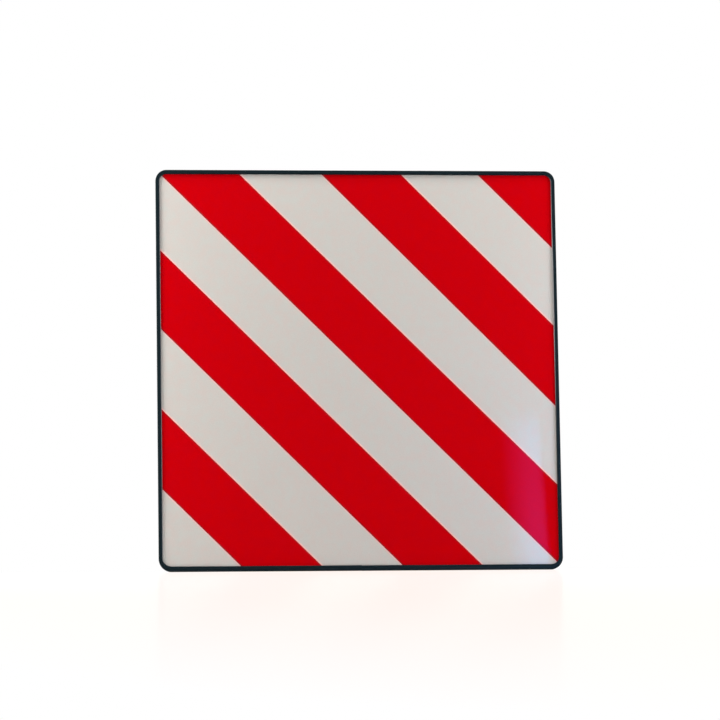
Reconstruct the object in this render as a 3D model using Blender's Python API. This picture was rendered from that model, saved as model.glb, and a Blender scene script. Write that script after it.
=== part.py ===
# Square rear sign for an oversize load, in metres with +Z up. It stands upright, faces -Y and is
# centred on the origin: an aluminium sheet faced with white reflective film and diagonal red
# bands, with a black edge trim pushed on all round whose ends meet at the bottom.

import math

import bmesh
import bpy

# Sheet
SHEET_SIDE = 0.500
SHEET_THICKNESS = 0.0010
SHEET_CORNER_RADIUS = 0.012

# Films on the front
WHITE_FILM_THICKNESS = 0.0003
RED_FILM_THICKNESS = 0.0003
STRIPES_PER_SIDE = 5  # whole stripes of both colours along each edge
STRIPE_SLOPE = math.radians(45)  # corner to corner, down to the right as seen from the front
STRIPE_SHIFT = 0.003  # how far above the corners the pattern was laid

# Edge trim, a U section open towards the middle of the sheet
LIP_REACH = 0.0035  # over the face, from the sheet's edge
LIP_THICKNESS = 0.0018
WEB_THICKNESS = 0.0022
BACK_ROUNDING = 0.0020
LIP_ROUNDING = 0.0007
TRIM_JOINT_GAP = 0.0003

# Clearance between pieces that touch
SEAT_GAP = 0.0003

CORNER_STEPS = 12
BACK_STEPS = 4
LIP_STEPS = 2
CUTTER_MARGIN = 0.010

# The colour boundaries would run through the corners but for the shift, this far apart along an
# upright edge
STRIPE_PITCH = SHEET_SIDE / STRIPES_PER_SIDE

SLOT_WIDTH = SHEET_THICKNESS + WHITE_FILM_THICKNESS + RED_FILM_THICKNESS + 4 * SEAT_GAP
TRIM_DEPTH = SLOT_WIDTH + 2 * LIP_THICKNESS

# Middle planes of the layers, from the back of the slot to its front
SHEET_Y = SLOT_WIDTH / 2 - SEAT_GAP - SHEET_THICKNESS / 2
WHITE_FILM_Y = SHEET_Y - SHEET_THICKNESS / 2 - SEAT_GAP - WHITE_FILM_THICKNESS / 2
RED_FILM_Y = WHITE_FILM_Y - WHITE_FILM_THICKNESS / 2 - SEAT_GAP - RED_FILM_THICKNESS / 2


def clear_scene():
    for item in list(bpy.data.objects):
        bpy.data.objects.remove(item, do_unlink=True)


def new_collection(name):
    collection = bpy.data.collections.new(name)
    bpy.context.scene.collection.children.link(collection)
    return collection


def new_material(name, colour, roughness, metallic):
    material = bpy.data.materials.new(name)
    material.use_nodes = True
    shader = material.node_tree.nodes["Principled BSDF"]
    shader.inputs["Base Color"].default_value = (*colour, 1)
    shader.inputs["Roughness"].default_value = roughness
    shader.inputs["Metallic"].default_value = metallic
    return material


def new_object(name, mesh, material, collection):
    made = bpy.data.objects.new(name, mesh)
    made.data.materials.append(material)
    collection.objects.link(made)
    return made


def rounded_square_outline(side, radius):
    """Points round a square with rounded corners, anticlockwise in the XY plane."""
    centre = side / 2 - radius
    points = []
    for quarter in range(4):
        middle = math.radians(45 + 90 * quarter)
        centre_x = math.copysign(centre, math.cos(middle))
        centre_y = math.copysign(centre, math.sin(middle))
        for step in range(CORNER_STEPS + 1):
            angle = math.radians(90 * (quarter + step / CORNER_STEPS))
            points.append((centre_x + radius * math.cos(angle), centre_y + radius * math.sin(angle)))
    return points


def add_plate(name, thickness, y, material, collection):
    """A plate of the sheet's outline, standing upright with its middle plane at y."""
    outline = rounded_square_outline(SHEET_SIDE, SHEET_CORNER_RADIUS)
    curve = bpy.data.curves.new(name, "CURVE")
    curve.dimensions = "2D"
    curve.fill_mode = "BOTH"
    curve.extrude = thickness / 2
    spline = curve.splines.new("POLY")
    spline.points.add(len(outline) - 1)
    for point, (x, z) in zip(spline.points, outline):
        point.co = (x, z, 0, 1)
    spline.use_cyclic_u = True
    drawn = bpy.data.objects.new(name + "_outline", curve)
    collection.objects.link(drawn)
    drawn.rotation_euler = (math.radians(90), 0, 0)
    drawn.location = (0, y, 0)
    bpy.context.view_layer.update()

    mesh = bpy.data.meshes.new_from_object(drawn.evaluated_get(bpy.context.evaluated_depsgraph_get()))
    plate = new_object(name, mesh, material, collection)
    plate.matrix_world = drawn.matrix_world.copy()
    bpy.data.objects.remove(drawn, do_unlink=True)
    weld(mesh)
    return plate


def weld(mesh):
    """Join a filled curve's caps to its sides."""
    shape = bmesh.new()
    shape.from_mesh(mesh)
    bmesh.ops.remove_doubles(shape, verts=shape.verts, dist=0.00001)
    bmesh.ops.recalc_face_normals(shape, faces=shape.faces)
    shape.to_mesh(mesh)
    shape.free()


def add_red_band(number, material, collection, cutters):
    """The part of a red film plate between two colour boundaries, numbered from the lower left."""
    band = add_plate(f"red_band_{number}", RED_FILM_THICKNESS, RED_FILM_Y, material, collection)
    bpy.ops.mesh.primitive_cube_add(size=1)
    bar = bpy.context.object
    bar.name = f"red_band_{number}_bounds"
    for home in list(bar.users_collection):
        home.objects.unlink(bar)
    cutters.objects.link(bar)
    low = (2 * number - 1 - STRIPES_PER_SIDE) * STRIPE_PITCH + STRIPE_SHIFT
    width = STRIPE_PITCH * math.cos(STRIPE_SLOPE)
    length = SHEET_SIDE / math.cos(STRIPE_SLOPE) + 2 * width
    bar.scale = (length, RED_FILM_THICKNESS + CUTTER_MARGIN, width)
    bar.rotation_euler = (0, STRIPE_SLOPE, 0)
    bar.location = (0, RED_FILM_Y, low + STRIPE_PITCH / 2)
    bar.hide_render = True
    bar.display_type = "WIRE"
    bound = band.modifiers.new("Bounds", "BOOLEAN")
    bound.operation = "INTERSECT"
    bound.solver = "EXACT"
    bound.object = bar


def trim_section(shape):
    """The U section as an upright face at the trim's start, below the sheet. Returns its edges."""
    edge = -SHEET_SIDE / 2
    tip = edge + LIP_REACH
    web_inside = edge - SEAT_GAP
    web_outside = web_inside - WEB_THICKNESS
    back = TRIM_DEPTH / 2
    slot = SLOT_WIDTH / 2
    corners = [
        (-back, tip),
        (-back, web_outside),
        (back, web_outside),
        (back, tip),
        (slot, tip),
        (slot, web_inside),
        (-slot, web_inside),
        (-slot, tip),
    ]
    verts = [shape.verts.new((TRIM_JOINT_GAP / 2, y, z)) for y, z in corners]
    shape.faces.new(verts)
    rounded = dict(offset_type="OFFSET", profile=0.5, affect="VERTICES")
    backs = [vert for vert in verts if math.isclose(vert.co.z, web_outside, abs_tol=1e-6)]
    tips = [vert for vert in verts if math.isclose(vert.co.z, tip, abs_tol=1e-6)]
    bmesh.ops.bevel(shape, geom=backs, offset=BACK_ROUNDING, segments=BACK_STEPS, **rounded)
    bmesh.ops.bevel(shape, geom=tips, offset=LIP_ROUNDING, segments=LIP_STEPS, **rounded)
    bmesh.ops.delete(shape, geom=list(shape.faces), context="FACES_ONLY")
    return list(shape.edges)


def sweep(shape, edges, centre=(0, 0, 0), turn=0, steps=1, run=(0, 0, 0)):
    """Carry the section along a straight run or round a corner. Returns its edges at the end."""
    verts = {vert for edge in edges for vert in edge.verts}
    section = [*verts, *edges]
    swept = bmesh.ops.spin(
        shape, geom=section, cent=centre, axis=(0, -1, 0), dvec=run, angle=turn, steps=steps
    )
    return [item for item in swept["geom_last"] if isinstance(item, bmesh.types.BMEdge)]


def add_edge_trim(material, collection):
    """The U section run round the sheet, from the middle of the bottom edge back to it."""
    corner = SHEET_SIDE / 2 - SHEET_CORNER_RADIUS
    side = 2 * corner
    half_bottom = corner - TRIM_JOINT_GAP / 2
    runs = ((half_bottom, 0, 0), (0, 0, side), (-side, 0, 0), (0, 0, -side))
    corners = ((corner, 0, -corner), (corner, 0, corner), (-corner, 0, corner), (-corner, 0, -corner))

    shape = bmesh.new()
    start = trim_section(shape)
    end = start
    for run, centre in zip(runs, corners):
        end = sweep(shape, end, run=run)
        end = sweep(shape, end, centre=centre, turn=math.radians(90), steps=CORNER_STEPS)
    end = sweep(shape, end, run=runs[0])
    bmesh.ops.edgeloop_fill(shape, edges=start)
    bmesh.ops.edgeloop_fill(shape, edges=end)
    bmesh.ops.recalc_face_normals(shape, faces=shape.faces)

    mesh = bpy.data.meshes.new("edge_trim")
    shape.to_mesh(mesh)
    shape.free()
    mesh.shade_smooth()
    mesh.set_sharp_from_angle(angle=math.radians(40))
    return new_object("edge_trim", mesh, material, collection)


def build():
    clear_scene()
    parts = new_collection("oversize_load_sign")
    cutters = new_collection("cutters")
    aluminium = new_material("aluminium", (0.56, 0.57, 0.58), 0.38, 1.0)
    white = new_material("white_reflective_film", (0.66, 0.62, 0.58), 0.35, 0.0)
    red = new_material("red_reflective_film", (0.62, 0.003, 0.006), 0.30, 0.0)
    black = new_material("black_trim", (0.010, 0.017, 0.022), 0.35, 0.0)

    add_plate("panel_sheet", SHEET_THICKNESS, SHEET_Y, aluminium, parts)
    add_plate("white_film", WHITE_FILM_THICKNESS, WHITE_FILM_Y, white, parts)
    for number in range(1, STRIPES_PER_SIDE + 1):
        add_red_band(number, red, parts, cutters)
    add_edge_trim(black, parts)


build()
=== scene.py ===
# Looks of a square rear sign for an oversize load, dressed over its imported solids.
# The board faces -Y. Everything is in metres, in the frame of the solids.
import math

import bmesh
import bpy
from mathutils import Matrix, Vector, noise


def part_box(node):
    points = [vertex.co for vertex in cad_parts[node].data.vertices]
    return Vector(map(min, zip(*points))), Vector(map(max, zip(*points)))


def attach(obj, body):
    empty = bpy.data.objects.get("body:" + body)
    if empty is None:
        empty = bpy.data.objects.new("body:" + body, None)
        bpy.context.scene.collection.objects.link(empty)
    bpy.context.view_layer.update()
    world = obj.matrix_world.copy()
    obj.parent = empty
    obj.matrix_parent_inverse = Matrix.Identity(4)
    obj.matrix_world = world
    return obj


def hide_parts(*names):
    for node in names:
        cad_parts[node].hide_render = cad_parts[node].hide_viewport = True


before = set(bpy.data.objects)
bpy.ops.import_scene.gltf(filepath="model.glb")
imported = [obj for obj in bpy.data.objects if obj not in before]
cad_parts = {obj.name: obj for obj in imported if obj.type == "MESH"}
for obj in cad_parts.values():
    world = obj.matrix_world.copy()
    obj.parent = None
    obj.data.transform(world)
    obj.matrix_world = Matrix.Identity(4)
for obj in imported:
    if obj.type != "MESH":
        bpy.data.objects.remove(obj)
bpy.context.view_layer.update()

body = "root"
sheetLow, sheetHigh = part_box("panel_sheet")
whiteLow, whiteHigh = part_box("white_film")
trimLow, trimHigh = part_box("edge_trim")
bandNames = [f"red_band_{number}" for number in range(1, 6)]

sheetHalf = sheetHigh.x
trimHalf = trimHigh.x
trimOverhang = trimHalf - sheetHalf

# What the whole board shares
board = {
    "waveHeight": 0.00012,  # rolled sheet is never quite flat
    "waveLength": 0.17,
    "gridStep": 0.0125,
    "cornerSteps": 14,
    # outer radius of each corner, anticlockwise from the lower right as the face is looked at
    "cornerRadii": (0.0155, 0.0138, 0.0140, 0.0166),
    "redThickness": 0.0001,
    "paintedRimWidth": 0.0026,  # how far the painted pale and dark lines reach from where the red film ends
    "paintedRimBelow": 0.65,  # how strong those painted lines are below a line, where above one they are 1
}

sharpAngle = math.radians(35)  # edges that turn more than this stay sharp
tiny = 0.000001  # what lies closer than this is in the same place

# The films lie on the sheet and on each other
sheetThickness = sheetHigh.y - sheetLow.y
whiteThickness = whiteHigh.y - whiteLow.y
sheetFrontY = sheetLow.y
whiteFrontY = sheetFrontY - whiteThickness
redFrontY = whiteFrontY - board["redThickness"]


# Small helpers for node trees
def addNode(tree, kind, **settings):
    node = tree.nodes.new(kind)
    for name, value in settings.items():
        setattr(node, name, value)
    return node


def addMath(tree, operation, first, second):
    node = addNode(tree, "ShaderNodeMath", operation=operation)
    for socket, value in zip(node.inputs, (first, second)):
        if isinstance(value, bpy.types.NodeSocket):
            tree.links.new(value, socket)
        else:
            socket.default_value = value
    return node.outputs[0]


def mixFloat(tree, factor, first, second):
    node = addNode(tree, "ShaderNodeMix", data_type="FLOAT")
    for name, value in (("Factor", factor), ("A", first), ("B", second)):
        if isinstance(value, bpy.types.NodeSocket):
            tree.links.new(value, node.inputs[name])
        else:
            node.inputs[name].default_value = value
    return node.outputs["Result"]


def addNoise(tree, place, scale, detail, roughness=0.5):
    node = addNode(tree, "ShaderNodeTexNoise")
    node.inputs["Detail"].default_value = detail
    node.inputs["Roughness"].default_value = roughness
    tree.links.new(place, node.inputs["Vector"])
    if isinstance(scale, bpy.types.NodeSocket):
        tree.links.new(scale, node.inputs["Scale"])
    else:
        node.inputs["Scale"].default_value = scale
    return node.outputs["Fac"]


def addRange(tree, value, fromLow, fromHigh, toLow, toHigh):
    node = addNode(tree, "ShaderNodeMapRange")
    tree.links.new(value, node.inputs["Value"])
    for name, number in zip(("From Min", "From Max", "To Min", "To Max"),
                            (fromLow, fromHigh, toLow, toHigh)):
        node.inputs[name].default_value = number
    return node.outputs["Result"]


def newGroup(name, inputs, outputs):
    group = bpy.data.node_groups.new(name, "ShaderNodeTree")
    for socketName, kind, value in inputs:
        socket = group.interface.new_socket(socketName, in_out="INPUT", socket_type=kind)
        if value is not None:
            socket.default_value = value
    for socketName, kind in outputs:
        group.interface.new_socket(socketName, in_out="OUTPUT", socket_type=kind)
    return group, group.nodes.new("NodeGroupInput"), group.nodes.new("NodeGroupOutput")


def useGroup(tree, group, place, **values):
    node = addNode(tree, "ShaderNodeGroup", node_tree=group)
    tree.links.new(place, node.inputs["Place"])
    for name, value in values.items():
        node.inputs[name].default_value = value
    return node


# Between which values of a noise, which stays near 0.5, each mark goes from none to full
noiseReach = {
    "clouds": (0.35, 0.65),
    "lines": (0.30, 0.70),
    "smudge": (0.45, 0.72),
    "dust": (0.62, 0.75),
}


# Beads and faint clouds under the clear face of reflective film
def makeFilmMottle():
    group, given, result = newGroup(
        "filmMottle",
        [("Place", "NodeSocketVector", None),
         ("Warm", "NodeSocketColor", (1, 1, 1, 1)),
         ("Cool", "NodeSocketColor", (1, 1, 1, 1)),
         ("CloudScale", "NodeSocketFloat", 50.0),
         ("BeadScale", "NodeSocketFloat", 1500.0),
         ("BeadDepth", "NodeSocketFloat", 0.03)],
        [("Colour", "NodeSocketColor"), ("Height", "NodeSocketFloat")],
    )
    place = given.outputs["Place"]
    clouds = addNoise(group, place, given.outputs["CloudScale"], 3)
    beads = addNoise(group, place, given.outputs["BeadScale"], 1)
    blend = addNode(group, "ShaderNodeMix", data_type="RGBA")
    group.links.new(addRange(group, clouds, *noiseReach["clouds"], 0, 1), blend.inputs["Factor"])
    group.links.new(given.outputs["Warm"], blend.inputs["A"])
    group.links.new(given.outputs["Cool"], blend.inputs["B"])
    centred = addMath(group, "SUBTRACT", beads, 0.5)
    depth = addMath(group, "MULTIPLY", centred, given.outputs["BeadDepth"])
    shade = addMath(group, "ADD", depth, 1.0)
    scaled = addNode(group, "ShaderNodeVectorMath", operation="SCALE")
    group.links.new(blend.outputs["Result"], scaled.inputs[0])
    group.links.new(shade, scaled.inputs["Scale"])
    group.links.new(scaled.outputs[0], result.inputs["Colour"])
    group.links.new(beads, result.inputs["Height"])
    return group


# Fine lines along the place's second axis: rolled grain on metal, drawn streaks on the trim
def makeGrainLines():
    group, given, result = newGroup(
        "grainLines",
        [("Place", "NodeSocketVector", None),
         ("Across", "NodeSocketFloat", 2000.0),
         ("Along", "NodeSocketFloat", 20.0)],
        [("Lines", "NodeSocketFloat")],
    )
    parts = addNode(group, "ShaderNodeSeparateXYZ")
    group.links.new(given.outputs["Place"], parts.inputs[0])
    across = addMath(group, "MULTIPLY", parts.outputs["X"], given.outputs["Across"])
    along = addMath(group, "MULTIPLY", parts.outputs["Y"], given.outputs["Along"])
    stretched = addNode(group, "ShaderNodeCombineXYZ")
    group.links.new(across, stretched.inputs["X"])
    group.links.new(along, stretched.inputs["Y"])
    fine = addNoise(group, stretched.outputs[0], 1.0, 4, 0.6)
    group.links.new(fine, result.inputs["Lines"])
    return group


# Soft smudges with dust in them, from being handled
def makeHandling():
    group, given, result = newGroup(
        "handling",
        [("Place", "NodeSocketVector", None),
         ("SmudgeScale", "NodeSocketFloat", 12.0),
         ("DustScale", "NodeSocketFloat", 900.0)],
        [("Smudge", "NodeSocketFloat"), ("Dust", "NodeSocketFloat")],
    )
    place = given.outputs["Place"]
    wide = addNoise(group, place, given.outputs["SmudgeScale"], 4, 0.6)
    smudge = addRange(group, wide, *noiseReach["smudge"], 0, 1)
    specks = addNoise(group, place, given.outputs["DustScale"], 2)
    dust = addMath(group, "MULTIPLY", addRange(group, specks, *noiseReach["dust"], 0, 1), smudge)
    group.links.new(smudge, result.inputs["Smudge"])
    group.links.new(dust, result.inputs["Dust"])
    return group


filmMottle = makeFilmMottle()
grainLines = makeGrainLines()
handling = makeHandling()


def newMaterial(name):
    material = bpy.data.materials.new(name)
    material.use_nodes = True
    tree = material.node_tree
    shader = tree.nodes["Principled BSDF"]
    return material, tree, shader


def addBump(tree, shader, height, distance):
    bump = addNode(tree, "ShaderNodeBump")
    bump.inputs["Distance"].default_value = distance
    tree.links.new(height, bump.inputs["Height"])
    tree.links.new(bump.outputs["Normal"], shader.inputs["Normal"])


def objectPlace(tree):
    return addNode(tree, "ShaderNodeTexCoord").outputs["Object"]


# Reflective film: opaque beaded colour under a clear glossy face. Where the red film ends, light
# spreads under the face, painted here as a pale pink line in the white's colour and a dark one in the
# red's.
film = {
    "beadDepth": 0.09,
    "beadScale": 700.0,
    "beadHeight": 0.000004,
    "cloudScale": 95.0,
}
whiteLooks = {
    "warm": (0.672, 0.606, 0.565, 1),
    "cool": (0.644, 0.628, 0.589, 1),
    "paintedRim": (1.75, 0.94, 0.93, 1),
    "roughness": (0.30, 0.38),
    "specularLevel": 0.10,
    "specularTint": (1, 1, 1, 1),
    "clearWeight": 0.8,
}
redLooks = {
    "warm": (0.628, 0.0002, 0.0030, 1),
    "cool": (0.607, 0.0006, 0.0050, 1),
    "paintedRim": (0.52, 45.0, 6.0, 1),
    "roughness": (0.025, 0.035),
    "specularLevel": 0.45,
    "specularTint": (1.0, 0.066, 0.24, 1),  # reflections on the red are red too
    "clearWeight": 0.0,
}
clearFace = {"roughness": 0.025, "ior": 1.45}


def makeFilm(name, looks):
    material, tree, shader = newMaterial(name)
    place = objectPlace(tree)
    mottle = useGroup(tree, filmMottle, place, Warm=looks["warm"], Cool=looks["cool"],
                      CloudScale=film["cloudScale"], BeadScale=film["beadScale"],
                      BeadDepth=film["beadDepth"])
    marks = useGroup(tree, handling, place)
    # painted light and shade: a pale line on the white and a dark one on the red where the red film
    # ends
    paintedRim = addNode(tree, "ShaderNodeMix", data_type="RGBA", blend_type="MULTIPLY")
    paintedRim.inputs["B"].default_value = looks["paintedRim"]
    paintedRimMask = addNode(tree, "ShaderNodeAttribute", attribute_name="paintedRim").outputs["Fac"]
    tree.links.new(paintedRimMask, paintedRim.inputs["Factor"])
    tree.links.new(mottle.outputs["Colour"], paintedRim.inputs["A"])
    tree.links.new(paintedRim.outputs["Result"], shader.inputs["Base Color"])
    low, high = looks["roughness"]
    tree.links.new(addRange(tree, marks.outputs["Smudge"], 0, 1, low, high), shader.inputs["Roughness"])
    shader.inputs["Specular IOR Level"].default_value = looks["specularLevel"]
    shader.inputs["Specular Tint"].default_value = looks["specularTint"]
    shader.inputs["Coat Weight"].default_value = looks["clearWeight"]
    shader.inputs["Coat Roughness"].default_value = clearFace["roughness"]
    shader.inputs["Coat IOR"].default_value = clearFace["ior"]
    addBump(tree, shader, mottle.outputs["Height"], film["beadHeight"])
    return material


# Mill-finish aluminium, grain upright
aluminium = {
    "bright": (0.60, 0.61, 0.62, 1),
    "dull": (0.50, 0.51, 0.525, 1),
    "grainAcross": 1400.0,
    "grainAlong": 6.0,
    "grainHeight": 0.00002,
    "smudgeScale": 7.0,
    "roughness": (0.34, 0.45),
}


def makeAluminium():
    material, tree, shader = newMaterial("mill aluminium")
    place = objectPlace(tree)
    upright = addNode(tree, "ShaderNodeMapping")
    upright.inputs["Rotation"].default_value = (math.radians(-90), 0, 0)  # Z becomes the second axis
    tree.links.new(place, upright.inputs["Vector"])
    grain = useGroup(tree, grainLines, upright.outputs["Vector"], Across=aluminium["grainAcross"],
                     Along=aluminium["grainAlong"])
    marks = useGroup(tree, handling, place, SmudgeScale=aluminium["smudgeScale"])
    colour = addNode(tree, "ShaderNodeMix", data_type="RGBA")
    colour.inputs["A"].default_value = aluminium["dull"]
    colour.inputs["B"].default_value = aluminium["bright"]
    brightness = addRange(tree, grain.outputs["Lines"], *noiseReach["lines"], 0, 1)
    tree.links.new(brightness, colour.inputs["Factor"])
    tree.links.new(colour.outputs["Result"], shader.inputs["Base Color"])
    low, high = aluminium["roughness"]
    tree.links.new(addRange(tree, marks.outputs["Smudge"], 0, 1, low, high), shader.inputs["Roughness"])
    shader.inputs["Metallic"].default_value = 1.0
    addBump(tree, shader, grain.outputs["Lines"], aluminium["grainHeight"])
    return material


# Soft black plastic, drawn through a die, with a painted highlight along the front lip's tip
trimLooks = {
    "colour": (0.0080, 0.0180, 0.0230, 1),
    "paintedHighlightColour": (0.46, 0.46, 0.48, 1),
    "dustColour": (0.06, 0.08, 0.09, 1),
    "dustShare": 0.15,
    "dustScale": 1200.0,
    "smudgeScale": 25.0,
    "streakAcross": 2500.0,
    "streakAlong": 12.0,
    "streakHeight": 0.000006,
    "roughness": (0.22, 0.32),
    "specularLevel": 0.45,
}


def makeTrimPlastic():
    material, tree, shader = newMaterial("black trim plastic")
    around = addNode(tree, "ShaderNodeAttribute", attribute_name="around")
    along = addNode(tree, "ShaderNodeAttribute", attribute_name="along")
    place = addNode(tree, "ShaderNodeCombineXYZ")
    tree.links.new(around.outputs["Fac"], place.inputs["X"])
    tree.links.new(along.outputs["Fac"], place.inputs["Y"])
    streaks = useGroup(tree, grainLines, place.outputs[0], Across=trimLooks["streakAcross"],
                       Along=trimLooks["streakAlong"])
    marks = useGroup(tree, handling, objectPlace(tree), SmudgeScale=trimLooks["smudgeScale"],
                     DustScale=trimLooks["dustScale"])
    colour = addNode(tree, "ShaderNodeMix", data_type="RGBA")
    colour.inputs["A"].default_value = trimLooks["colour"]
    colour.inputs["B"].default_value = trimLooks["dustColour"]
    dust = addMath(tree, "MULTIPLY", marks.outputs["Dust"], trimLooks["dustShare"])
    tree.links.new(dust, colour.inputs["Factor"])
    # painted highlight: a pale line on the lip's tip that stands in for light caught there
    paintedHighlight = addNode(tree, "ShaderNodeMix", data_type="RGBA")
    paintedHighlight.inputs["B"].default_value = trimLooks["paintedHighlightColour"]
    paintedHighlightShare = addNode(tree, "ShaderNodeAttribute", attribute_name="paintedHighlight").outputs["Fac"]
    tree.links.new(paintedHighlightShare, paintedHighlight.inputs["Factor"])
    tree.links.new(colour.outputs["Result"], paintedHighlight.inputs["A"])
    tree.links.new(paintedHighlight.outputs["Result"], shader.inputs["Base Color"])
    low, high = trimLooks["roughness"]
    roughness = addRange(tree, streaks.outputs["Lines"], *noiseReach["lines"], low, high)
    tree.links.new(roughness, shader.inputs["Roughness"])
    shader.inputs["Specular IOR Level"].default_value = trimLooks["specularLevel"]
    addBump(tree, shader, streaks.outputs["Lines"], trimLooks["streakHeight"])
    return material


sheetAluminium = makeAluminium()
whiteSheeting = makeFilm("white reflective film", whiteLooks)
redSheeting = makeFilm("red reflective film", redLooks)
trimPlastic = makeTrimPlastic()
print("materials made")


def finishPiece(name, bm, material, slot, *nodes):
    bmesh.ops.recalc_face_normals(bm, faces=bm.faces)
    mesh = bpy.data.meshes.new(name)
    bm.to_mesh(mesh)
    bm.free()
    mesh.materials.append(material)
    mesh.shade_smooth()
    mesh.set_sharp_from_angle(angle=sharpAngle)
    piece = bpy.data.objects.new(name, mesh)
    bpy.context.scene.collection.objects.link(piece)
    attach(piece, body)
    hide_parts(*nodes)


# How far the board lies out of flat at a place, which is nothing at its edges
def boardWave(x, z):
    fade = (1 - (x / sheetHalf) ** 2) * (1 - (z / sheetHalf) ** 2)
    place = Vector((x, 0, z)) / board["waveLength"]
    return board["waveHeight"] * fade * noise.noise(place)


def cutPlane(bm, point, normal, **clear):
    everything = [*bm.verts, *bm.edges, *bm.faces]
    bmesh.ops.bisect_plane(bm, geom=everything, plane_co=point, plane_no=normal, dist=tiny, **clear)


# How strongly the painted rim of light and shade beside some lines shows at a place. Each line is a
# point on it and a normal that points away from its rim, and a rim on the lower side of its line is
# weaker.
def paintedRimShare(place, rims):
    width = board["paintedRimWidth"]
    shares = [0]
    for point, normal in rims:
        depth = (point - place).dot(normal)
        if -10 * tiny < depth < width:  # a point on a line may lie just past it
            shares.append((1 - depth / width) * (board["paintedRimBelow"] if normal.z > 0 else 1))
    return max(shares)


# A layer of the board: the rounded square, cut to its bounds and into a grid, made solid and wavy
def makeLayer(frontY, thickness, bounds, rims):
    bm = bmesh.new()
    bmesh.ops.create_grid(bm, x_segments=1, y_segments=1, size=sheetHalf)
    bmesh.ops.rotate(bm, verts=bm.verts, matrix=Matrix.Rotation(math.radians(90), 3, "X"))
    for sideX, sideZ, radius in zip((1, 1, -1, -1), (-1, 1, 1, -1), board["cornerRadii"]):
        corner = [vert for vert in bm.verts if vert.co.x * sideX > 0 and vert.co.z * sideZ > 0]
        bmesh.ops.bevel(bm, geom=corner, offset=radius - trimOverhang, affect="VERTICES",
                        segments=board["cornerSteps"], profile=0.5, material=-1)
    for point, normal in bounds:
        cutPlane(bm, point, normal, clear_outer=True)
    for point, normal in rims:
        cutPlane(bm, point, normal)
        cutPlane(bm, point - normal * board["paintedRimWidth"], normal)
    steps = round(2 * sheetHalf / board["gridStep"])
    for step in range(1, steps):
        at = -sheetHalf + step * board["gridStep"]
        cutPlane(bm, (at, 0, 0), (1, 0, 0))
        cutPlane(bm, (0, 0, at), (0, 0, 1))
    paintedRim = bm.verts.layers.float.new("paintedRim")
    for vert in bm.verts:
        vert[paintedRim] = paintedRimShare(vert.co, rims)
    bmesh.ops.translate(bm, verts=bm.verts, vec=(0, frontY, 0))
    behind = bmesh.ops.extrude_face_region(bm, geom=list(bm.faces), use_keep_orig=True)
    moved = [item for item in behind["geom"] if isinstance(item, bmesh.types.BMVert)]
    bmesh.ops.translate(bm, verts=moved, vec=(0, thickness, 0))
    for vert in bm.verts:
        vert.co.y += boardWave(vert.co.x, vert.co.z)
    return bm


# Red film, laid by hand: how far each band is turned, in degrees clockwise, and how far its lower
# and its upper edge lie off their places, towards the upper right
bandLaying = (
    {"turn": -0.16, "low": 0.00037, "high": 0.00051},
    {"turn": -0.11, "low": 0.00104, "high": 0.00087},
    {"turn": -0.10, "low": -0.00098, "high": -0.00115},
    {"turn": 0.335, "low": -0.00027, "high": 0.00067},
    {"turn": 0.22, "low": -0.00057, "high": 0.0},
)


# The two edges of each red band, as a point on it and the direction out of the band
def findBandEdges():
    found = []
    for node, laying in zip(bandNames, bandLaying):
        # the band's edges lie where x + z is least and most in its solid
        sums = [vert.co.x + vert.co.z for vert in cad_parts[node].data.vertices]
        turn = Matrix.Rotation(math.radians(laying["turn"]), 3, "Y")
        outward = turn @ Vector((1, 0, 1)).normalized()
        low = Vector((min(sums) / 2, 0, min(sums) / 2)) + outward * laying["low"]
        high = Vector((max(sums) / 2, 0, max(sums) / 2)) + outward * laying["high"]
        found.append([(low, -outward), (high, outward)])
    del found[-1][1]  # the last band runs out at the corner
    return found


bandEdges = findBandEdges()


def makeSheet():
    bm = makeLayer(sheetFrontY, sheetThickness, [], [])
    finishPiece("aluminiumSheet", bm, sheetAluminium, "sheet_metal", "panel_sheet")


def makeWhiteFilm():
    rims = [(point, -normal) for edges in bandEdges for point, normal in edges]
    bm = makeLayer(whiteFrontY, whiteThickness, [], rims)
    finishPiece("whiteReflectiveFilm", bm, whiteSheeting, "white_film", "white_film")


def makeRedBands():
    for number, (node, edges) in enumerate(zip(bandNames, bandEdges), 1):
        bm = makeLayer(redFrontY, board["redThickness"], edges, edges)
        finishPiece(f"redFilmBand{number}", bm, redSheeting, "red_film", node)


# Edge trim: a U section whose lips close on the board, pushed on from the bottom and round
trimShape = {
    "web": 0.0022,
    "lip": 0.0018,
    "outerRounding": 0.0009,
    "crest": 0.0040,  # from the outside to where a lip starts to slope to the board
    "crestRounding": 0.0005,
    "tipHeight": 0.0020,
    "tipRounding": 0.0003,
    # how far the lips reach in from the outside on each side
    "coverRight": 0.0050,
    "coverTop": 0.0053,
    "coverLeft": 0.0053,
    "coverBottom": 0.0067,
    "unevenness": 0.00015,
    "unevenLength": 0.06,
    "stationStep": 0.010,
    # the front lip's tip has a painted highlight, pale colour standing in for light caught there: a
    # little all down its left side, and more over part of its right side
    "paintedHighlightLeft": 0.5,
    "paintedHighlightRight": 1.0,
    "paintedHighlightHeight": 0.10,
    "paintedHighlightLength": 0.13,
    "paintedHighlightWidth": 0.00045,  # back from the tip
    "paintedHighlightStart": 0.0005,  # off the film
    "paintedHighlightFade": 4,  # how fast it ends where a side turns into a corner
    "jointGap": 0.0001,
    "jointStep": 0.0004,
    "jointFade": 0.025,
}
meanCover = (trimShape["coverRight"] + trimShape["coverTop"]
             + trimShape["coverLeft"] + trimShape["coverBottom"]) / 4


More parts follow.
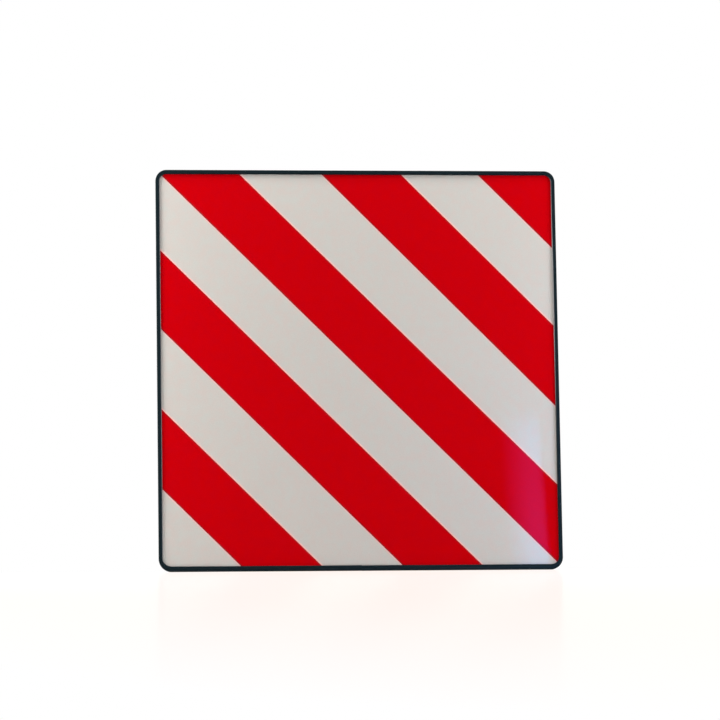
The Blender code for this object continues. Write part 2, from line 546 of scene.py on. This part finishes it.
def makeTrimSection(bm):
    outside = -trimHalf
    webInside = outside + trimShape["web"]
    crest = outside + trimShape["crest"]
    tip = outside + meanCover
    back = trimHigh.y
    lip, height = trimShape["lip"], trimShape["tipHeight"]
    corners = [
        (redFrontY - height, tip), (-back, crest), (-back, outside),
        (back, outside), (back, crest), (sheetHigh.y + height, tip),
        (sheetHigh.y, tip), (back - lip, webInside), (lip - back, webInside), (redFrontY, tip),
    ]
    verts = [bm.verts.new((trimShape["jointGap"] / 2, y, z)) for y, z in corners]
    bm.faces.new(verts)
    for level, rounding, segments in ((outside, "outerRounding", 6), (crest, "crestRounding", 3),
                                      (tip, "tipRounding", 3)):
        chosen = [vert for vert in bm.verts if math.isclose(vert.co.z, level, abs_tol=tiny)]
        bmesh.ops.bevel(bm, geom=chosen, offset=trimShape[rounding], affect="VERTICES",
                        segments=segments, profile=0.5, material=-1)
    return list(bm.faces)[0]


# Numbers each point of the section by its way round the outline, by its reach from the outside,
# and by whether it lies on the front lip's tip, where the painted highlight goes
def markSection(face, layers):
    way = 0
    for loop in face.loops:
        vert = loop.vert
        vert[layers["around"]] = way
        vert[layers["reach"]] = (vert.co.z + trimHalf) / meanCover
        # the painted highlight goes on the last bit of the front lip before its tip
        onTip = vert.co.z + trimHalf > meanCover - trimShape["paintedHighlightWidth"]
        onFront = vert.co.y < redFrontY - trimShape["paintedHighlightStart"]
        vert[layers["paintedHighlight"]] = 1 if onTip and onFront else 0
        way += loop.edge.calc_length()


# Carries the section along a straight run, or a quarter turn round the centre of a corner, and
# gives its edges at the end
def carrySection(bm, edges, steps, layers, run=None, centre=None):
    for step in range(steps):
        grown = bmesh.ops.extrude_edge_only(bm, edges=edges)["geom"]
        verts = [item for item in grown if isinstance(item, bmesh.types.BMVert)]
        ends = set(verts)
        edges = [item for item in grown
                 if isinstance(item, bmesh.types.BMEdge) and set(item.verts) <= ends]
        if centre is None:
            bmesh.ops.translate(bm, verts=verts, vec=run / steps)
            length, angle = run.length / steps, 0
        else:
            angle = math.radians(90) / steps
            bmesh.ops.rotate(bm, verts=verts, cent=centre, matrix=Matrix.Rotation(-angle, 3, "Y"))
            length = angle * (trimHalf - abs(centre[0]))
        for vert in verts:
            vert[layers["along"]] += length
            vert[layers["heading"]] += angle
    return edges


# Sets how far the lips reach and how strong the painted highlight on the tip is all round, and
# lets the two ends meet with a small step
def settleTrim(bm, layers, length):
    covers = [trimShape[name] for name in ("coverRight", "coverTop", "coverLeft", "coverBottom")]
    for vert in bm.verts:
        heading = vert[layers["heading"]] - math.radians(90)
        outward = Vector((math.cos(heading), 0, math.sin(heading)))
        shares = (max(outward.x, 0), max(outward.z, 0), max(-outward.x, 0), max(-outward.z, 0))
        cover = sum(share ** 2 * value for share, value in zip(shares, covers))
        # the painted highlight: all down the left side, and on the right side round a given height
        nearness = math.exp(-((vert.co.z - trimShape["paintedHighlightHeight"]) / trimShape["paintedHighlightLength"]) ** 2)
        fade = trimShape["paintedHighlightFade"]
        vert[layers["paintedHighlight"]] *= (shares[0] ** fade * trimShape["paintedHighlightRight"] * nearness
                                   + shares[2] ** fade * trimShape["paintedHighlightLeft"])
        along = vert[layers["along"]]
        bend = noise.noise(Vector((along / trimShape["unevenLength"], 0, 0)))
        uneven = bend * trimShape["unevenness"]
        vert.co -= outward * (vert[layers["reach"]] * (cover - meanCover + uneven))
        fromStart = math.exp(-along / trimShape["jointFade"])
        fromEnd = math.exp((along - length) / trimShape["jointFade"])
        vert.co.z += (fromEnd - fromStart) * trimShape["jointStep"] / 2


def makeTrim():
    bm = bmesh.new()
    names = ("around", "along", "reach", "heading", "paintedHighlight")
    layers = {name: bm.verts.layers.float.new(name) for name in names}
    face = makeTrimSection(bm)
    markSection(face, layers)
    start = list(face.edges)
    bmesh.ops.delete(bm, geom=[face], context="FACES_ONLY")

    edges = start
    at = Vector((trimShape["jointGap"] / 2, 0, -trimHalf))
    length = 0
    for sideX, sideZ, radius in zip((1, 1, -1, -1), (-1, 1, 1, -1), board["cornerRadii"]):
        centre = Vector((sideX, 0, sideZ)) * (trimHalf - radius)
        forward = Vector((-sideZ, 0, 0)) if sideX == -sideZ else Vector((0, 0, sideX))
        run = forward * (centre - at).dot(forward)
        steps = max(1, round(run.length / trimShape["stationStep"]))
        edges = carrySection(bm, edges, steps, layers, run=run)
        edges = carrySection(bm, edges, board["cornerSteps"], layers, centre=centre)
        at = centre + Matrix.Rotation(math.radians(-90), 3, "Y") @ (at + run - centre)
        length += run.length + math.radians(90) * radius
    run = Vector((-trimShape["jointGap"] / 2 - at.x, 0, 0))
    steps = round(run.length / trimShape["stationStep"])
    edges = carrySection(bm, edges, steps, layers, run=run)
    length += run.length
    settleTrim(bm, layers, length)
    bmesh.ops.edgeloop_fill(bm, edges=start)
    bmesh.ops.edgeloop_fill(bm, edges=edges)
    finishPiece("edgeTrimStrip", bm, trimPlastic, "trim", "edge_trim")


makeSheet()
makeWhiteFilm()
makeRedBands()
makeTrim()
print("board, films and trim made")


# Plain white studio. Near the sign the floor takes its shadow and a faint reflection. The sign
# leans back a little on it, so in the sign's own frame the floor falls away before the face.
studio = {
    "floorZ": trimLow.z,
    "floorSize": 60.0,
    "floorFall": 7.6,  # degrees
    "nearSign": (0.3, 2.2),  # where the floor's shading starts to fade and where it ends
    "nearWidth": 3.0,  # how much sooner it fades to the sides than forwards
    "floorGlow": (0.93, 0.76, 0.65, 1),
    "floorMatt": (0.06, 0.15, 0.22, 1),  # cooler than its glow, so shade on it is warm
    "backGlow": (0.76, 0.76, 0.76, 1),
    "backMatt": (0.25, 0.25, 0.25, 1),
    "backStart": (0.0, 0.05),  # where the floor's own colours give way to those behind the sign
    "floorGloss": (0.13, 0.13, 0.13, 1),
    "floorRoughness": 0.16,
    "floorWhite": 0.8,
    "ambient": 0.49,
    "dimFront": 0.02,
    "dimFloor": (-0.1, 0.3),  # over which y the floor goes from dim to white in reflections
    "dimRoom": (-0.5, 0.4),  # and over which y of a direction the room does
}


# 0 before the sign and 1 behind it, from a point's or a direction's y
def behindness(tree, vector, low, high):
    parts = addNode(tree, "ShaderNodeSeparateXYZ")
    tree.links.new(vector, parts.inputs[0])
    return addRange(tree, parts.outputs["Y"], low, high, 0, 1)


def makeFloorMaterial():
    material, tree, shader = newMaterial("white floor")
    tree.nodes.remove(shader)
    place = objectPlace(tree)
    path = addNode(tree, "ShaderNodeLightPath")

    # to the camera it glows all over, and near the sign it takes shade and reflections too
    farGlow = addNode(tree, "ShaderNodeEmission")
    nearGlow = addNode(tree, "ShaderNodeEmission")
    matt = addNode(tree, "ShaderNodeBsdfDiffuse")
    past = behindness(tree, place, *studio["backStart"])
    for node, names in ((nearGlow, ("floorGlow", "backGlow")), (matt, ("floorMatt", "backMatt"))):
        colour = addNode(tree, "ShaderNodeMix", data_type="RGBA")
        tree.links.new(past, colour.inputs["Factor"])
        colour.inputs["A"].default_value = studio[names[0]]
        colour.inputs["B"].default_value = studio[names[1]]
        tree.links.new(colour.outputs["Result"], node.inputs["Color"])
    gloss = addNode(tree, "ShaderNodeBsdfGlossy")
    gloss.inputs["Color"].default_value = studio["floorGloss"]
    gloss.inputs["Roughness"].default_value = studio["floorRoughness"]
    shaded = addNode(tree, "ShaderNodeAddShader")
    tree.links.new(matt.outputs[0], shaded.inputs[0])
    tree.links.new(gloss.outputs[0], shaded.inputs[1])
    near = addNode(tree, "ShaderNodeAddShader")
    tree.links.new(nearGlow.outputs[0], near.inputs[0])
    tree.links.new(shaded.outputs[0], near.inputs[1])
    squeezed = addNode(tree, "ShaderNodeVectorMath", operation="MULTIPLY")
    squeezed.inputs[1].default_value = (studio["nearWidth"], 1, 1)
    tree.links.new(place, squeezed.inputs[0])
    distance = addNode(tree, "ShaderNodeVectorMath", operation="LENGTH")
    tree.links.new(squeezed.outputs[0], distance.inputs[0])
    seen = addNode(tree, "ShaderNodeMixShader")
    farness = addRange(tree, distance.outputs["Value"], *studio["nearSign"], 0, 1)
    tree.links.new(farness, seen.inputs[0])
    tree.links.new(near.outputs[0], seen.inputs[1])
    tree.links.new(farGlow.outputs[0], seen.inputs[2])

    # to the light it is plain white, and in reflections it is dim before the sign
    behind = behindness(tree, place, *studio["dimFloor"])
    mirrored = mixFloat(tree, behind, studio["dimFront"], studio["floorWhite"])
    value = mixFloat(tree, path.outputs["Is Glossy Ray"], studio["floorWhite"], mirrored)
    plain = addNode(tree, "ShaderNodeBsdfDiffuse")
    tree.links.new(value, plain.inputs["Color"])
    choose = addNode(tree, "ShaderNodeMixShader")
    direct = addMath(tree, "MAXIMUM", path.outputs["Is Camera Ray"],
                     path.outputs["Is Transmission Ray"])
    tree.links.new(direct, choose.inputs[0])
    tree.links.new(plain.outputs[0], choose.inputs[1])
    tree.links.new(seen.outputs[0], choose.inputs[2])
    tree.links.new(choose.outputs[0], tree.nodes["Material Output"].inputs["Surface"])
    return material


def makeFloor():
    half = studio["floorSize"] / 2
    bm = bmesh.new()
    bmesh.ops.create_grid(bm, x_segments=1, y_segments=2, size=half)
    bmesh.ops.translate(bm, verts=bm.verts, vec=(0, 0, studio["floorZ"]))
    front = [vert for vert in bm.verts if vert.co.y < -half / 2]
    fall = half * math.tan(math.radians(studio["floorFall"]))
    bmesh.ops.translate(bm, verts=front, vec=(0, 0, -fall))
    mesh = bpy.data.meshes.new("floor")
    bm.to_mesh(mesh)
    bm.free()
    mesh.materials.append(makeFloorMaterial())
    floor = bpy.data.objects.new("floor", mesh)
    bpy.context.scene.collection.objects.link(floor)


# White to the camera. In reflections it is white behind the sign and dim in the room before it.
def makeWorld():
    world = bpy.data.worlds.new("studio")
    bpy.context.scene.world = world
    world.use_nodes = True
    tree = world.node_tree
    path = addNode(tree, "ShaderNodeLightPath")
    direction = addNode(tree, "ShaderNodeTexCoord").outputs["Generated"]
    behind = behindness(tree, direction, *studio["dimRoom"])
    mirrored = mixFloat(tree, behind, studio["dimFront"], 1.0)
    glossy = addMath(tree, "MAXIMUM", path.outputs["Is Glossy Ray"],
                     path.outputs["Is Transmission Ray"])
    unseen = mixFloat(tree, glossy, studio["ambient"], mirrored)
    strength = mixFloat(tree, path.outputs["Is Camera Ray"], unseen, 1.0)
    background = tree.nodes["Background"]
    background.inputs["Color"].default_value = (1, 1, 1, 1)
    tree.links.new(strength, background.inputs["Strength"])


# Strip lamps beside the board graze its face, which is brightest along its edges. Something blue
# stands low on the right: it tints the face a little there, and shows in it as a reflection.
# A matt lamp doesn't show in reflections, and a mirrorOnly one shows nowhere else.
lamps = {
    "left": {"place": (-0.60, -0.20, 0.45), "aim": (0.0, 0.0, 0.45), "size": (0.20, 1.28),
             "power": 3.4, "colour": (1.0, 0.99, 0.96), "matt": True},
    "right": {"place": (0.60, -0.20, 0.55), "aim": (0.0, 0.0, 0.55), "size": (0.20, 1.44),
              "power": 3.1, "colour": (0.97, 0.99, 1.0), "matt": True},
    "top": {"place": (0.0, -0.35, 1.1), "aim": (0.0, 0.0, 0.0), "size": (1.0, 0.4),
            "power": 5.4, "colour": (1.0, 0.985, 0.94), "matt": True},
    "behind": {"place": (0.3, 1.6, 1.1), "aim": (0.0, 0.0, 0.0), "size": (1.6, 1.0),
               "power": 12.0, "colour": (1.0, 1.0, 1.0)},
    "blue fill": {"place": (0.45, -0.15, -0.10), "aim": (0.0, 0.0, -0.10), "size": (0.10, 0.20),
                  "power": 0.14, "colour": (0.10, 0.30, 1.0), "matt": True},
    "blue card": {"place": (0.4152, -1.5, 0.0), "aim": (0.4152, 0.0, 0.0), "size": (0.0875, 0.28),
                  "power": 0.495, "colour": (0.195, 0.463, 1.0), "fadeX": (0.24, 0.74),
                  "fadeY": (1.0, 0.88), "deepenY": (1.0, 0.33, 0.55), "turn": 3.2, "mirrorOnly": True},
}


# Brings a lamp up from nothing across its width and down its height, where it goes on rising more
# slowly from the share that deepenY ends with
def fadeLamp(light, fadeX, fadeY, deepenY):
    light.use_nodes = True
    tree = light.node_tree
    parts = addNode(tree, "ShaderNodeSeparateXYZ")
    tree.links.new(addNode(tree, "ShaderNodeNewGeometry").outputs["Parametric"], parts.inputs[0])
    strengthX = addRange(tree, parts.outputs["X"], *fadeX, 0, 1)
    strengthY = addRange(tree, parts.outputs["Y"], *fadeY, 0, 1)
    deepening = addRange(tree, parts.outputs["Y"], *deepenY, 1)
    strength = addMath(tree, "MULTIPLY", addMath(tree, "MULTIPLY", strengthX, strengthY), deepening)
    tree.links.new(strength, tree.nodes["Emission"].inputs["Strength"])


def makeLamps():
    for name, lamp in lamps.items():
        light = bpy.data.lights.new(name + " lamp", "AREA")
        light.shape = "RECTANGLE"
        light.size, light.size_y = lamp["size"]
        light.energy = lamp["power"]
        light.color = lamp["colour"]
        if "fadeX" in lamp:
            fadeLamp(light, lamp["fadeX"], lamp["fadeY"], lamp["deepenY"])
        item = bpy.data.objects.new(name + " lamp", light)
        item.location = lamp["place"]
        towards = Vector(lamp["aim"]) - Vector(lamp["place"])
        turn = Matrix.Rotation(math.radians(lamp.get("turn", 0)), 3, "Z")
        item.rotation_euler = (towards.to_track_quat("-Z", "Y").to_matrix() @ turn).to_euler()
        item.visible_camera = False
        item.visible_diffuse = not lamp.get("mirrorOnly", False)
        item.visible_glossy = not lamp.get("matt", False)
        bpy.context.scene.collection.objects.link(item)


view = {
    "lens": 200.0,
    "sensorWidth": 36.0,
    "clipStart": 0.05,
    "place": (-0.52099, -4.93131, -0.67331),
    "yaw": 6.05105,  # degrees to the right of +Y
    "pitch": 7.86736,
    "roll": -0.90209,
}


def makeCamera():
    camera = bpy.data.cameras.new("camera")
    camera.lens = view["lens"]
    camera.sensor_width = view["sensorWidth"]
    camera.clip_start = view["clipStart"]
    item = bpy.data.objects.new("camera", camera)
    yaw, pitch, roll = (math.radians(view[name]) for name in ("yaw", "pitch", "roll"))
    turn = (Matrix.Rotation(-yaw, 4, "Z") @ Matrix.Rotation(math.radians(90) + pitch, 4, "X")
            @ Matrix.Rotation(roll, 4, "Z"))
    item.matrix_world = Matrix.Translation(view["place"]) @ turn
    bpy.context.scene.collection.objects.link(item)
    bpy.context.scene.camera = item


makeFloor()
makeWorld()
makeLamps()
makeCamera()
bpy.context.scene.view_settings.view_transform = "Standard"
print("studio and camera made")
